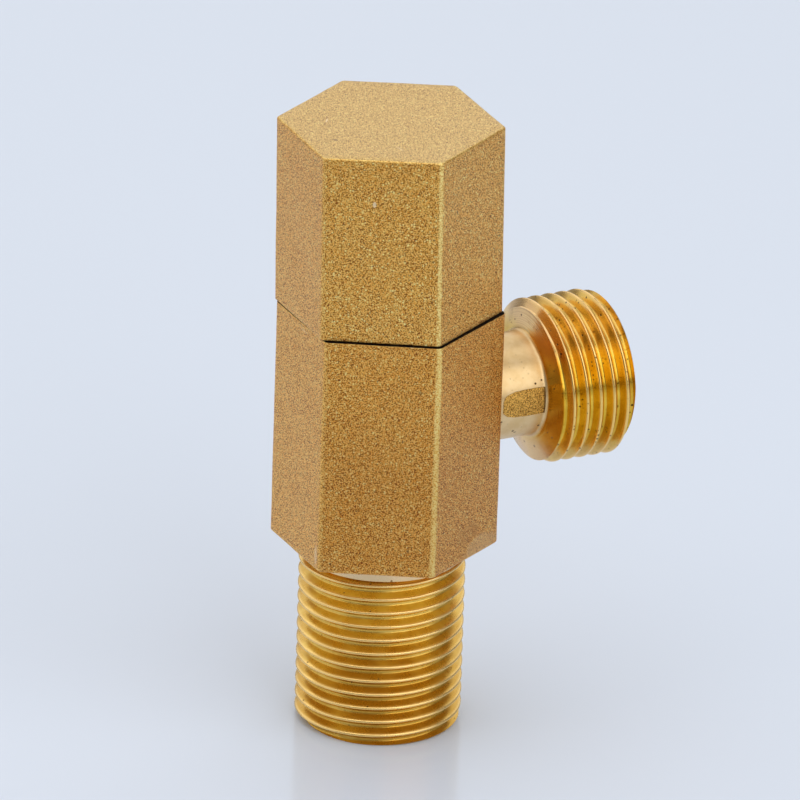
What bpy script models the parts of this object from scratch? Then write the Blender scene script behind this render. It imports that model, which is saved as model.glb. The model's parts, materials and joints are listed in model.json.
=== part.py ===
"""Quarter-turn angle stop valve in cast brass: a hexagonal body with a threaded inlet and a threaded
side outlet, a hexagonal handle, and the ceramic-disc cartridge that the body and the handle hide.

Frame: origin on the stem's axis at the inlet's end face, +Z up the stem, +X out of the outlet.
The valve is shown closed, with the handle's flats in line with the body's.
"""

import math

import bmesh
import bpy
from mathutils import Matrix, Vector

MM = 0.001
Z_AXIS = Matrix.Identity(4)
X_AXIS = Matrix.Rotation(math.radians(90), 4, "Y")
GAP = 0.3 * MM  # between pieces that touch on the real valve
OVERLAP = 1.0 * MM  # how far joined or cutting shapes run into each other

# Hexagonal castings
ACROSS_FLATS = 24.0 * MM
FIRST_CORNER = 30.0  # degrees, so that a flat faces +X
CAST_ROUND = 0.6 * MM
BODY_BOTTOM = 23.7 * MM
BODY_TOP = 53.9 * MM
HANDLE_BOTTOM = BODY_TOP + GAP
HANDLE_TOP = 78.0 * MM

# G1/2 pipe thread, with crests turned down from the nominal 20.955 mm
PITCH = 1.814 * MM
THREAD_CREST = 10.2 * MM
THREAD_ROOT = 9.32 * MM
CREST_FLAT = 0.25  # shares of one pitch
ROOT_FLAT = 0.25
THREAD_SEGMENTS = 32

# Inlet
INLET_THREAD_TOP = 21.9 * MM
INLET_PHASE = 0.375 * MM
INLET_RELIEF_RADIUS = 9.25 * MM
INLET_BORE = 7.0 * MM
INLET_BORE_TOP = 30.5 * MM
END_CHAMFER = 0.6 * MM

# Outlet
OUTLET_Z = 41.1 * MM
OUTLET_END = 29.0 * MM
OUTLET_PHASE = 0.96 * MM
NECK_RADIUS = 6.45 * MM
NECK_FILLET = 0.6 * MM
SHOULDER_X = 18.5 * MM
SHOULDER_CHAMFER = 0.3 * MM
OUTLET_BORE = 4.6 * MM
OUTLET_MOUTH = 6.6 * MM
OUTLET_MOUTH_DEPTH = 7.0 * MM

# Chamber inside the body
SEAT_Z = 34.0 * MM
SEAT_HOLE = 5.0 * MM
CHAMBER = 9.4 * MM
CHAMBER_TOP = 44.6 * MM
HOUSING_HOLE = 9.2 * MM
COUNTERBORE = 10.5 * MM
COUNTERBORE_Z = 51.2 * MM

# Cartridge housing, M18 x 1 thread
SKIRT_BOTTOM = 35.2 * MM
SKIRT_RADIUS = 8.0 * MM
SKIRT_INNER = 7.15 * MM
HOUSING_THREAD_CREST = 8.9 * MM
HOUSING_THREAD_ROOT = 8.35 * MM
HOUSING_PITCH = 1.0 * MM
HOUSING_THREAD_BOTTOM = 45.0 * MM
FLANGE_RADIUS = 10.2 * MM
FLANGE_BOTTOM = 52.6 * MM
WRENCH_FLATS = 17.0 * MM
WRENCH_TOP = 59.5 * MM
COLLAR_RADIUS = 6.4 * MM
COLLAR_TOP = 62.5 * MM
STEM_HOLE = 4.4 * MM
SHOULDER_Z = 47.2 * MM
WINDOW_BOTTOM = 40.4 * MM
WINDOW_TOP = 43.8 * MM
WINDOW_WIDTH = 8.0 * MM
DISC_RIB_WIDTH = 1.8 * MM
DISC_RIB_DEPTH = 0.6 * MM
STOP_NOTCH_BOTTOM = 60.6 * MM

# Stem
STEM_RADIUS = 4.1 * MM
STEM_FLANGE_RADIUS = 6.7 * MM
STEM_FLANGE_BOTTOM = 43.7 * MM
STEM_FLANGE_TOP = 46.0 * MM
TONGUE_BOTTOM = 42.3 * MM
TONGUE_WIDTH = 2.8 * MM
TONGUE_LENGTH = 11.0 * MM
RING_GROOVE_ROOT = 2.7 * MM
RING_GROOVE_HEIGHT = 1.7 * MM
LOWER_RING_Z = 50.4 * MM
UPPER_RING_Z = 54.8 * MM
RING_SECTION = 0.6 * MM
RING_CENTRE = 3.55 * MM
STEM_FLATS = 6.6 * MM
STEM_FLATS_BOTTOM = 62.6 * MM
CLIP_GROOVE_BOTTOM = 64.0 * MM
CLIP_GROOVE_TOP = 65.0 * MM
CLIP_GROOVE_ROOT = 3.1 * MM
SPLINE_BOTTOM = 66.0 * MM
STEM_TOP = 73.6 * MM
SPLINE_TEETH = 20
SPLINE_RADIUS = 3.75 * MM
SPLINE_WAVE = 0.22 * MM
SPLINE_CLEARANCE = 0.25 * MM

# Stop ring and circlip
STOP_RING_BOTTOM = COLLAR_TOP + GAP
STOP_RING_TOP = 63.8 * MM
STOP_RING_RADIUS = 5.7 * MM
STOP_LUG_INNER = 4.9 * MM
STOP_LUG_RADIUS = 6.3 * MM
STOP_LUG_BOTTOM = STOP_NOTCH_BOTTOM + GAP
STOP_LUG_ANGLE = 30.0  # degrees of arc
STOP_START = 200.0  # where the lug's clockwise side is when the valve is closed
STOP_MARGIN = 3.0
TURN = 90.0
CLIP_RADIUS = 5.3 * MM
CLIP_INNER = 3.35 * MM
CLIP_THICKNESS = 0.7 * MM
CLIP_OPENING = 70.0

# Discs, seals and washers
FIXED_DISC_BOTTOM = 37.3 * MM
FIXED_DISC_TOP = 40.2 * MM
DISC_RADIUS = 6.85 * MM
MOVING_DISC_RADIUS = 6.7 * MM
MOVING_DISC_BOTTOM = FIXED_DISC_TOP + GAP
MOVING_DISC_TOP = 43.4 * MM
DISC_HUB = 2.3 * MM
PORT_RADIUS = 5.5 * MM
PORT_ANGLE = 76.0
BLADE_ANGLE = 92.0
SLOT_DEPTH = 1.4 * MM
SLOT_WIDTH = TONGUE_WIDTH + 2 * GAP
SEAL_OUTER = 6.85 * MM
SEAL_INNER = 5.05 * MM
SEAL_BOTTOM = SEAT_Z + GAP
SEAL_TOP = FIXED_DISC_BOTTOM - GAP
SUPPORT_INNER = 4.1 * MM
SUPPORT_OUTER = 4.75 * MM
WASHER_BOTTOM = STEM_FLANGE_TOP + GAP
WASHER_TOP = SHOULDER_Z - GAP
GASKET_INNER = 9.35 * MM
GASKET_TOP = FLANGE_BOTTOM - 0.2 * MM
GASKET_BOTTOM = COUNTERBORE_Z + 0.2 * MM

# Handle and its grub screw, M4
HANDLE_CAVITY = 10.2 * MM
HANDLE_ROOF = 75.5 * MM
BOSS_RADIUS = 6.2 * MM
BOSS_BOTTOM = 66.5 * MM
SPLINE_HOLE_TOP = 74.0 * MM
SCREW_Z = 70.0 * MM
SCREW_ANGLE = 60.0  # the flat that carries the grub screw
SCREW_PAD_RADIUS = 3.4 * MM
SCREW_HOLE = 2.2 * MM
SCREW_RADIUS = 1.9 * MM
SCREW_INNER_END = 4.3 * MM
SCREW_OUTER_END = 11.5 * MM
SCREW_SOCKET = 2.0 * MM
SCREW_SOCKET_DEPTH = 2.4 * MM

ROUND_SEGMENTS = 32
MOUTH_SEGMENTS = 48


def clear_scene():
    for obj in list(bpy.data.objects):
        bpy.data.objects.remove(obj, do_unlink=True)


def make_material(name, colour, metallic, roughness):
    material = bpy.data.materials.new(name)
    material.use_nodes = True
    shader = material.node_tree.nodes["Principled BSDF"]
    shader.inputs["Base Color"].default_value = (*colour, 1.0)
    shader.inputs["Metallic"].default_value = metallic
    shader.inputs["Roughness"].default_value = roughness
    material.diffuse_color = (*colour, 1.0)
    return material


def finish_mesh(name, bm):
    """A closed mesh from bm, with its faces pointing out and its round faces smooth."""
    bmesh.ops.remove_doubles(bm, verts=bm.verts, dist=1e-7)
    bmesh.ops.recalc_face_normals(bm, faces=bm.faces)
    mesh = bpy.data.meshes.new(name)
    bm.to_mesh(mesh)
    bm.free()
    mesh.shade_smooth()
    mesh.set_sharp_from_angle(angle=math.radians(35))
    return mesh


def add_object(name, mesh, material=None, parent=None, place=None):
    obj = bpy.data.objects.new(name, mesh)
    bpy.context.scene.collection.objects.link(obj)
    if material:
        obj.data.materials.append(material)
    if parent:
        obj.parent = parent
    if place:
        obj.matrix_local = place
    return obj


def turned(name, profile, segments=ROUND_SEGMENTS, turn=Z_AXIS):
    """The closed outline of (radius, height) points, turned about its axis."""
    bm = bmesh.new()
    rings = []
    for radius, height in profile:
        if radius == 0:
            rings.append([bm.verts.new(turn @ Vector((0, 0, height)))] * segments)
            continue
        angles = [2 * math.pi * i / segments for i in range(segments)]
        rings.append([
            bm.verts.new(turn @ Vector((radius * math.cos(a), radius * math.sin(a), height)))
            for a in angles
        ])
    for lower, upper in zip(rings, rings[1:] + rings[:1]):
        for i in range(segments):
            j = (i + 1) % segments
            corners = list(dict.fromkeys([lower[i], lower[j], upper[j], upper[i]]))
            if len(corners) > 2:
                bm.faces.new(corners)
    return finish_mesh(name, bm)


def extruded(name, outline, bottom, top, bevel=0.0, sharp_height=None):
    """A prism on the outline of (x, y) points. The bevel rounds its edges, except those that lie
    at the sharp height."""
    bm = bmesh.new()
    floor = [bm.verts.new(Vector((x, y, bottom))) for x, y in outline]
    roof = [bm.verts.new(Vector((x, y, top))) for x, y in outline]
    bm.faces.new(floor)
    bm.faces.new(roof)
    for i in range(len(outline)):
        j = (i + 1) % len(outline)
        bm.faces.new([floor[i], floor[j], roof[j], roof[i]])
    if bevel:
        bmesh.ops.recalc_face_normals(bm, faces=bm.faces)
        rounded = bm.edges[:]
        if sharp_height is not None:
            rounded = [e for e in rounded if any(abs(v.co.z - sharp_height) > 1e-6 for v in e.verts)]
        bmesh.ops.bevel(bm, geom=rounded, offset=bevel, segments=3, profile=0.5, affect="EDGES")
    return finish_mesh(name, bm)


def hexagon(across_flats, first_corner=FIRST_CORNER):
    radius = across_flats / 2 / math.cos(math.radians(30))
    angles = [math.radians(first_corner + 60 * i) for i in range(6)]
    return [(radius * math.cos(a), radius * math.sin(a)) for a in angles]


def rectangle(x_side, y_side, centre_x=0.0):
    half_x, half_y = x_side / 2, y_side / 2
    return [
        (centre_x - half_x, -half_y),
        (centre_x + half_x, -half_y),
        (centre_x + half_x, half_y),
        (centre_x - half_x, half_y),
    ]


def arc(radius, start, end, steps):
    """Points from start to end, both in degrees."""
    angles = [math.radians(start + (end - start) * i / steps) for i in range(steps + 1)]
    return [(radius * math.cos(a), radius * math.sin(a)) for a in angles]


def sector(inner, outer, start, end, steps=10):
    return arc(outer, start, end, steps) + arc(inner, end, start, steps)


def spline_outline(clearance=0.0):
    """One loop round the splines, with four points for each tooth."""
    count = 4 * SPLINE_TEETH
    points = []
    for i in range(count):
        a = 2 * math.pi * i / count
        radius = SPLINE_RADIUS + clearance + SPLINE_WAVE * math.cos(SPLINE_TEETH * a)
        points.append((radius * math.cos(a), radius * math.sin(a)))
    return points


def chamfered(crest, bottom, top, bottom_chamfer, top_chamfer, root=0.0):
    """The largest radius at each height of a thread whose ends are chamfered at 45 degrees."""
    def limit(height):
        low = crest - bottom_chamfer + max(0.0, height - bottom)
        high = crest - top_chamfer + max(0.0, top - height)
        return max(root, min(low, high))
    return limit


def helix(name, sizes, phase, bottom, top, limit, segments=THREAD_SEGMENTS):
    """A solid rod with a right-hand thread of the given (root, crest, pitch). A crest passes the first
    angle at the phase height, the rows of the surface follow the helix, and both ends are flat."""
    root, crest, pitch = sizes
    profile = [
        (0.0, crest),
        (CREST_FLAT, crest),
        (0.5 + (CREST_FLAT - ROOT_FLAT) / 2, root),
        (0.5 + (CREST_FLAT + ROOT_FLAT) / 2, root),
    ]
    per_turn = len(profile)
    first_turn = math.floor((bottom - phase) / pitch) - 2
    turns = math.ceil((top - bottom) / pitch) + 4
    bm = bmesh.new()
    grid = []
    for k in range(turns):
        for share, radius in profile:
            start = phase + (first_turn + k + share - CREST_FLAT / 2) * pitch
            ring = []
            for i in range(segments):
                a = 2 * math.pi * i / segments
                height = start + pitch * i / segments
                r = min(radius, limit(height))
                ring.append(bm.verts.new((r * math.cos(a), r * math.sin(a), height)))
            grid.append(ring)
    for row in range(len(grid) - per_turn - 1):
        for i in range(segments):
            lower = [grid[row][i], grid[row + 1][i]]
            if i + 1 < segments:
                upper = [grid[row + 1][i + 1], grid[row][i + 1]]
            else:
                upper = [grid[row + 1 + per_turn][0], grid[row + per_turn][0]]
            bm.faces.new(lower + upper)
    for height, outwards in ((bottom, -1), (top, 1)):
        everything = bm.verts[:] + bm.edges[:] + bm.faces[:]
        bmesh.ops.bisect_plane(
            bm, geom=everything, plane_co=(0, 0, height), plane_no=(0, 0, outwards), clear_outer=True
        )
    loose = [v for v in bm.verts if not v.link_faces]
    bmesh.ops.delete(bm, geom=loose, context="VERTS")
    bmesh.ops.holes_fill(bm, edges=[e for e in bm.edges if e.is_boundary])
    return finish_mesh(name, bm)


def combine(target, operation, name, mesh, place=None):
    """Joins or cuts the target with a hidden helper object made from the mesh."""
    helper = add_object(name, mesh, place=place)
    helper.parent = target.parent
    helper.hide_render = True
    helper.display_type = "WIRE"
    modifier = target.modifiers.new(name, "BOOLEAN")
    modifier.operation = operation
    modifier.solver = "EXACT"
    modifier.object = helper
    return helper


def along(angle, height):
    """The placement that points +Z outwards at the angle, from the stem's axis at the height."""
    turn = Matrix.Rotation(math.radians(angle), 4, "Z") @ X_AXIS
    return Matrix.Translation((0, 0, height)) @ turn


def hex_casting(name, bottom, top, seam, material, parent=None):
    """A hexagonal block whose edges are rounded, except at the height where it meets the other one."""
    mesh = extruded(name, hexagon(ACROSS_FLATS), bottom, top, CAST_ROUND, seam)
    return add_object(name, mesh, material, parent)


def inlet_stub(body):
    """The threaded pipe end below the hexagon, with a plain band above its thread."""
    depth = THREAD_CREST - INLET_RELIEF_RADIUS
    limit = chamfered(
        THREAD_CREST, 0, INLET_THREAD_TOP, END_CHAMFER, depth, root=INLET_RELIEF_RADIUS
    )
    sizes = (THREAD_ROOT, THREAD_CREST, PITCH)
    thread = helix("inlet_thread", sizes, INLET_PHASE, 0, BODY_BOTTOM + OVERLAP, limit)
    combine(body, "UNION", "inlet_thread", thread)


def outlet_stub(body):
    """The turned neck, its shoulder and the threaded end, along +X."""
    place = along(0, OUTLET_Z)
    limit = chamfered(THREAD_CREST, SHOULDER_X, OUTLET_END, SHOULDER_CHAMFER, END_CHAMFER)
    sizes = (THREAD_ROOT, THREAD_CREST, PITCH)
    thread = helix("outlet_thread", sizes, OUTLET_PHASE, SHOULDER_X, OUTLET_END, limit)
    neck = [
        (0, ACROSS_FLATS / 2 - OVERLAP),
        (NECK_RADIUS, ACROSS_FLATS / 2 - OVERLAP),
        (NECK_RADIUS, SHOULDER_X - NECK_FILLET),
        (NECK_RADIUS + 0.3 * NECK_FILLET, SHOULDER_X - 0.3 * NECK_FILLET),
        (NECK_RADIUS + NECK_FILLET + OVERLAP / 5, SHOULDER_X + OVERLAP / 5),
        (0, SHOULDER_X + OVERLAP),
    ]
    combine(body, "UNION", "outlet_thread", thread, place)
    combine(body, "UNION", "outlet_neck", turned("outlet_neck", neck, MOUTH_SEGMENTS), place)


def valve_body(brass):
    """The casting: hexagon, inlet and outlet stubs, waterway, seat and cartridge chamber."""
    body = hex_casting("valve_body", BODY_BOTTOM, BODY_TOP, BODY_TOP, brass)
    inlet_stub(body)
    outlet_stub(body)
    waterway = [
        (0, -OVERLAP),
        (INLET_BORE, -OVERLAP),
        (INLET_BORE, INLET_BORE_TOP),
        (SEAT_HOLE, INLET_BORE_TOP),
        (SEAT_HOLE, SEAT_Z),
        (CHAMBER, SEAT_Z),
        (CHAMBER, CHAMBER_TOP),
        (HOUSING_HOLE, CHAMBER_TOP),
        (HOUSING_HOLE, COUNTERBORE_Z),
        (COUNTERBORE, COUNTERBORE_Z),
        (COUNTERBORE, BODY_TOP + OVERLAP),
        (0, BODY_TOP + OVERLAP),
    ]
    combine(body, "DIFFERENCE", "waterway", turned("waterway", waterway, MOUTH_SEGMENTS))
    side_port = [
        (0, CHAMBER - 2 * OVERLAP),
        (OUTLET_BORE, CHAMBER - 2 * OVERLAP),
        (OUTLET_BORE, OUTLET_END - OUTLET_MOUTH_DEPTH),
        (OUTLET_MOUTH, OUTLET_END - OUTLET_MOUTH_DEPTH + (OUTLET_MOUTH - OUTLET_BORE)),
        (OUTLET_MOUTH, OUTLET_END + OVERLAP),
        (0, OUTLET_END + OVERLAP),
    ]
    side_mesh = turned("side_port", side_port)
    combine(body, "DIFFERENCE", "side_port", side_mesh, along(0, OUTLET_Z))
    return body


def handle(brass, turning):
    """The hollow hexagonal handle, with a splined boss that slips over the stem."""
    cap = hex_casting("handle", HANDLE_BOTTOM, HANDLE_TOP, HANDLE_BOTTOM, brass, turning)
    cavity = [
        (0, HANDLE_BOTTOM - OVERLAP),
        (HANDLE_CAVITY, HANDLE_BOTTOM - OVERLAP),
        (HANDLE_CAVITY, HANDLE_ROOF),
        (BOSS_RADIUS, HANDLE_ROOF),
        (BOSS_RADIUS, BOSS_BOTTOM),
        (0, BOSS_BOTTOM),
    ]
    combine(cap, "DIFFERENCE", "handle_cavity", turned("handle_cavity", cavity, MOUTH_SEGMENTS))
    pad = [(x, y) for x, y in arc(SCREW_PAD_RADIUS, 0, 337.5, 15)]
    place = along(SCREW_ANGLE, SCREW_Z)
    pad_mesh = extruded("screw_pad", pad, BOSS_RADIUS - OVERLAP, HANDLE_CAVITY + OVERLAP)
    combine(cap, "UNION", "screw_pad", pad_mesh, place)
    spline = extruded(
        "spline_hole", spline_outline(SPLINE_CLEARANCE), BOSS_BOTTOM - OVERLAP, SPLINE_HOLE_TOP
    )
    combine(cap, "DIFFERENCE", "spline_hole", spline)
    hole = [(x, y) for x, y in arc(SCREW_HOLE, 0, 337.5, 15)]
    hole_mesh = extruded("screw_hole", hole, SPLINE_RADIUS - OVERLAP, ACROSS_FLATS / 2 + OVERLAP)
    combine(cap, "DIFFERENCE", "screw_hole", hole_mesh, place)
    return cap


def handle_set_screw(steel, turning):
    """A grub screw with a hexagon socket, driven in from a flat of the handle."""
    point = SCREW_RADIUS / 2
    profile = [
        (0, SCREW_INNER_END),
        (point, SCREW_INNER_END),
        (SCREW_RADIUS, SCREW_INNER_END + SCREW_RADIUS - point),
        (SCREW_RADIUS, SCREW_OUTER_END - 0.3 * MM),
        (SCREW_RADIUS - 0.3 * MM, SCREW_OUTER_END),
        (0, SCREW_OUTER_END),
    ]
    place = along(SCREW_ANGLE, SCREW_Z)
    mesh = turned("handle_set_screw", profile, 20)
    screw = add_object("handle_set_screw", mesh, steel, turning, place)
    socket = extruded(
        "socket", hexagon(SCREW_SOCKET), SCREW_OUTER_END - SCREW_SOCKET_DEPTH, SCREW_OUTER_END + OVERLAP
    )
    combine(screw, "DIFFERENCE", "socket", socket, place)


def cartridge_housing(brass):
    """The screwed bonnet that holds the discs below and the stem above, with a quarter-turn notch."""
    profile = [
        (0, SKIRT_BOTTOM),
        (SKIRT_RADIUS, SKIRT_BOTTOM),
        (SKIRT_RADIUS, HOUSING_THREAD_BOTTOM),
        (HOUSING_THREAD_ROOT, HOUSING_THREAD_BOTTOM),
        (HOUSING_THREAD_ROOT, FLANGE_BOTTOM),
        (FLANGE_RADIUS, FLANGE_BOTTOM),
        (FLANGE_RADIUS, BODY_TOP),
        (COLLAR_RADIUS, BODY_TOP),
        (COLLAR_RADIUS, COLLAR_TOP),
        (0, COLLAR_TOP),
    ]
    housing = add_object("cartridge_housing", turned("cartridge_housing", profile), brass)
    thread_bottom = HOUSING_THREAD_BOTTOM + 0.2 * MM
    thread_top = COUNTERBORE_Z - OVERLAP
    sizes = (HOUSING_THREAD_ROOT - GAP, HOUSING_THREAD_CREST, HOUSING_PITCH)
    limit = chamfered(HOUSING_THREAD_CREST, thread_bottom, thread_top, GAP, GAP)
    thread = helix("housing_thread", sizes, 0, thread_bottom, thread_top, limit, 24)
    combine(housing, "UNION", "housing_thread", thread)
    bore = [
        (0, SKIRT_BOTTOM - OVERLAP),
        (SKIRT_INNER, SKIRT_BOTTOM - OVERLAP),
        (SKIRT_INNER, SHOULDER_Z),
        (STEM_HOLE, SHOULDER_Z),
        (STEM_HOLE, COLLAR_TOP + OVERLAP),
        (0, COLLAR_TOP + OVERLAP),
    ]
    wrench = extruded("wrench_hexagon", hexagon(WRENCH_FLATS), BODY_TOP - 0.5 * MM, WRENCH_TOP, 0.3 * MM)
    combine(housing, "UNION", "wrench_hexagon", wrench)
    combine(housing, "DIFFERENCE", "bore", turned("bore", bore))
    window = extruded(
        "windows", rectangle(2 * (SKIRT_RADIUS + OVERLAP), WINDOW_WIDTH), WINDOW_BOTTOM, WINDOW_TOP
    )
    combine(housing, "DIFFERENCE", "windows", window)
    for side in (1, -1):
        centre = side * (SKIRT_INNER - DISC_RIB_DEPTH / 2 + 0.25 * MM)
        outline = [(-y, x) for x, y in rectangle(DISC_RIB_DEPTH + 0.5 * MM, DISC_RIB_WIDTH, centre)]
        rib = extruded("disc_rib", outline, FIXED_DISC_BOTTOM, FIXED_DISC_TOP)
        combine(housing, "UNION", "disc_rib", rib)
    notch_start = STOP_START - STOP_MARGIN
    notch_end = STOP_START + STOP_LUG_ANGLE + TURN + STOP_MARGIN
    notch = sector(STEM_HOLE - OVERLAP, COLLAR_RADIUS + OVERLAP, notch_start, notch_end, 14)
    combine(
        housing, "DIFFERENCE", "stop_notch",
        extruded("stop_notch", notch, STOP_NOTCH_BOTTOM, COLLAR_TOP + OVERLAP),
    )
    return housing


def stem(brass, turning):
    """The spindle: drive tongue, flange, two ring grooves, clip groove and splined top."""
    profile = [(0, STEM_FLANGE_BOTTOM), (STEM_FLANGE_RADIUS, STEM_FLANGE_BOTTOM),
               (STEM_FLANGE_RADIUS, STEM_FLANGE_TOP), (STEM_RADIUS, STEM_FLANGE_TOP)]
    for centre in (LOWER_RING_Z, UPPER_RING_Z):
        low, high = centre - RING_GROOVE_HEIGHT / 2, centre + RING_GROOVE_HEIGHT / 2
        profile += [(STEM_RADIUS, low), (RING_GROOVE_ROOT, low),
                    (RING_GROOVE_ROOT, high), (STEM_RADIUS, high)]
    profile += [
        (STEM_RADIUS, CLIP_GROOVE_BOTTOM),
        (CLIP_GROOVE_ROOT, CLIP_GROOVE_BOTTOM),
        (CLIP_GROOVE_ROOT, CLIP_GROOVE_TOP),
        (STEM_RADIUS, CLIP_GROOVE_TOP),
        (STEM_RADIUS, SPLINE_BOTTOM - 0.3 * MM),
        (STEM_RADIUS - 0.7 * MM, SPLINE_BOTTOM + 0.2 * MM),
        (0, SPLINE_BOTTOM + 0.2 * MM),
    ]
    spindle = add_object("stem", turned("stem", profile), brass, turning)
    splines = extruded("splines", spline_outline(), SPLINE_BOTTOM - 0.2 * MM, STEM_TOP)
    combine(spindle, "UNION", "splines", splines)
    tongue = extruded(
        "tongue", rectangle(TONGUE_LENGTH, TONGUE_WIDTH), TONGUE_BOTTOM, STEM_FLANGE_BOTTOM + OVERLAP
    )
    combine(spindle, "UNION", "tongue", tongue)
    for side in (1, -1):
        flat = rectangle(2 * OVERLAP, 4 * STEM_RADIUS, side * (STEM_FLATS / 2 + OVERLAP))
        cutter = extruded("stem_flat", flat, STEM_FLATS_BOTTOM, CLIP_GROOVE_BOTTOM + 0.3 * MM)
        combine(spindle, "DIFFERENCE", "stem_flat", cutter)
    return spindle


def stop_ring(steel, turning):
    """A ring keyed to the stem's flats, with a lug that sweeps the housing's notch."""
    outer = [(x, y) for x, y in arc(STOP_RING_RADIUS, 0, 348.75, 31)]
    ring = add_object("stop_ring", extruded("stop_ring", outer, STOP_RING_BOTTOM, STOP_RING_TOP), steel)
    ring.parent = turning
    lug = sector(STOP_LUG_INNER, STOP_LUG_RADIUS, STOP_START, STOP_START + STOP_LUG_ANGLE, 4)
    combine(ring, "UNION", "lug", extruded("lug", lug, STOP_LUG_BOTTOM, STOP_RING_TOP - 0.2 * MM))
    half = math.degrees(math.acos(STEM_FLATS / 2 / STEM_RADIUS))
    hole_radius = STEM_RADIUS + 0.25 * MM
    hole = arc(hole_radius, half, 180 - half, 10) + arc(hole_radius, 180 + half, 360 - half, 10)
    combine(
        ring, "DIFFERENCE", "keyed_hole",
        extruded("keyed_hole", hole, STOP_RING_BOTTOM - OVERLAP, STOP_RING_TOP + OVERLAP),
    )
    return ring


def stem_circlip(steel, turning):
    half = CLIP_OPENING / 2
    outline = sector(CLIP_INNER, CLIP_RADIUS, half, 360 - half, 24)
    middle = (CLIP_GROOVE_BOTTOM + CLIP_GROOVE_TOP) / 2
    mesh = extruded("stem_circlip", outline, middle - CLIP_THICKNESS / 2, middle + CLIP_THICKNESS / 2)
    return add_object("stem_circlip", mesh, steel, turning)


def stem_o_ring(name, height, rubber, turning):
    steps = 8
    profile = []
    for i in range(steps):
        a = 2 * math.pi * (i + 0.5) / steps
        profile.append((RING_CENTRE + RING_SECTION * math.cos(a), height + RING_SECTION * math.sin(a)))
    return add_object(name, turned(name, profile, 28), rubber, turning)


def flat_ring(name, inner, outer, bottom, top, material, parent=None):
    profile = [(inner, bottom), (outer, bottom), (outer, top), (inner, top)]
    return add_object(name, turned(name, profile), material, parent)


def fixed_disc(ceramic):
    """The lower disc: two ports, and two edge notches that key it to the housing."""
    outer = [(x, y) for x, y in arc(DISC_RADIUS, 0, 352.5, 47)]
    disc = add_object("fixed_disc", extruded("fixed_disc", outer, FIXED_DISC_BOTTOM, FIXED_DISC_TOP), ceramic)
    low, high = FIXED_DISC_BOTTOM - OVERLAP, FIXED_DISC_TOP + OVERLAP
    for middle in (0, 180):
        port = sector(DISC_HUB, PORT_RADIUS, middle - PORT_ANGLE / 2, middle + PORT_ANGLE / 2)
        combine(disc, "DIFFERENCE", "port", extruded("port", port, low, high))
    for side in (1, -1):
        depth = DISC_RIB_DEPTH + GAP
        centre = side * (DISC_RADIUS - depth / 2 + OVERLAP / 2)
        outline = [(-y, x) for x, y in rectangle(depth + OVERLAP, DISC_RIB_WIDTH + 2 * GAP, centre)]
        combine(disc, "DIFFERENCE", "key_notch", extruded("key_notch", outline, low, high))
    return disc


def moving_disc(ceramic, turning):
    """The upper disc: two blades that cover the ports when the valve is closed."""
    hub_half = 180 - BLADE_ANGLE
    outline = []
    for middle in (0, 180):
        outline += arc(MOVING_DISC_RADIUS, middle - BLADE_ANGLE / 2, middle + BLADE_ANGLE / 2, 12)
        outline += arc(DISC_HUB, middle + BLADE_ANGLE / 2, middle + BLADE_ANGLE / 2 + hub_half, 8)
    disc = add_object(
        "moving_disc", extruded("moving_disc", outline, MOVING_DISC_BOTTOM, MOVING_DISC_TOP), ceramic, turning
    )
    slot = extruded(
        "drive_slot", rectangle(4 * MOVING_DISC_RADIUS, SLOT_WIDTH),
        MOVING_DISC_TOP - SLOT_DEPTH, MOVING_DISC_TOP + OVERLAP,
    )
    combine(disc, "DIFFERENCE", "drive_slot", slot)
    return disc


def bottom_seal(rubber):
    """The seal between seat and fixed disc, with a narrow lip on each face."""
    lip = 0.35 * MM
    middle = (SEAL_OUTER + SEAL_INNER) / 2
    profile = [
        (SEAL_INNER, SEAL_BOTTOM + lip),
        (middle, SEAL_BOTTOM),
        (SEAL_OUTER, SEAL_BOTTOM + lip),
        (SEAL_OUTER, SEAL_TOP - lip),
        (middle, SEAL_TOP),
        (SEAL_INNER, SEAL_TOP - lip),
    ]
    return add_object("bottom_seal", turned("bottom_seal", profile), rubber)


def main():
    clear_scene()
    cast_brass = make_material("cast_brass", (0.50, 0.29, 0.09), 0.9, 0.55)
    turned_brass = make_material("turned_brass", (0.75, 0.50, 0.15), 1.0, 0.25)
    steel = make_material("steel", (0.55, 0.55, 0.56), 1.0, 0.3)
    rubber = make_material("rubber", (0.02, 0.02, 0.02), 0.0, 0.7)
    ceramic = make_material("ceramic", (0.85, 0.84, 0.80), 0.0, 0.2)
    plastic = make_material("plastic", (0.80, 0.80, 0.78), 0.0, 0.45)

    turning = bpy.data.objects.new("turning_group", None)
    bpy.context.scene.collection.objects.link(turning)

    valve_body(cast_brass)
    cartridge_housing(turned_brass)
    fixed_disc(ceramic)
    bottom_seal(rubber)
    flat_ring("seal_support_ring", SUPPORT_INNER, SUPPORT_OUTER, SEAL_BOTTOM + GAP, SEAL_TOP, plastic)
    flat_ring("thrust_washer", STEM_HOLE, DISC_RADIUS, WASHER_BOTTOM, WASHER_TOP, plastic)
    flat_ring("housing_gasket", GASKET_INNER, FLANGE_RADIUS, GASKET_BOTTOM, GASKET_TOP, rubber)

    handle(cast_brass, turning)
    handle_set_screw(steel, turning)
    stem(turned_brass, turning)
    stop_ring(steel, turning)
    stem_circlip(steel, turning)
    stem_o_ring("stem_o_ring_lower", LOWER_RING_Z, rubber, turning)
    stem_o_ring("stem_o_ring_upper", UPPER_RING_Z, rubber, turning)
    moving_disc(ceramic, turning)


main()
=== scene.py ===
"""The finished look of the angle stop valve: sand-cast hexagons, turned and threaded stubs, and the
pieces inside. Metres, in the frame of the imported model: +Z up the stem, +X out of the outlet."""

import json
import math

import bmesh
import bpy
from mathutils import Matrix, Vector, noise


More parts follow.
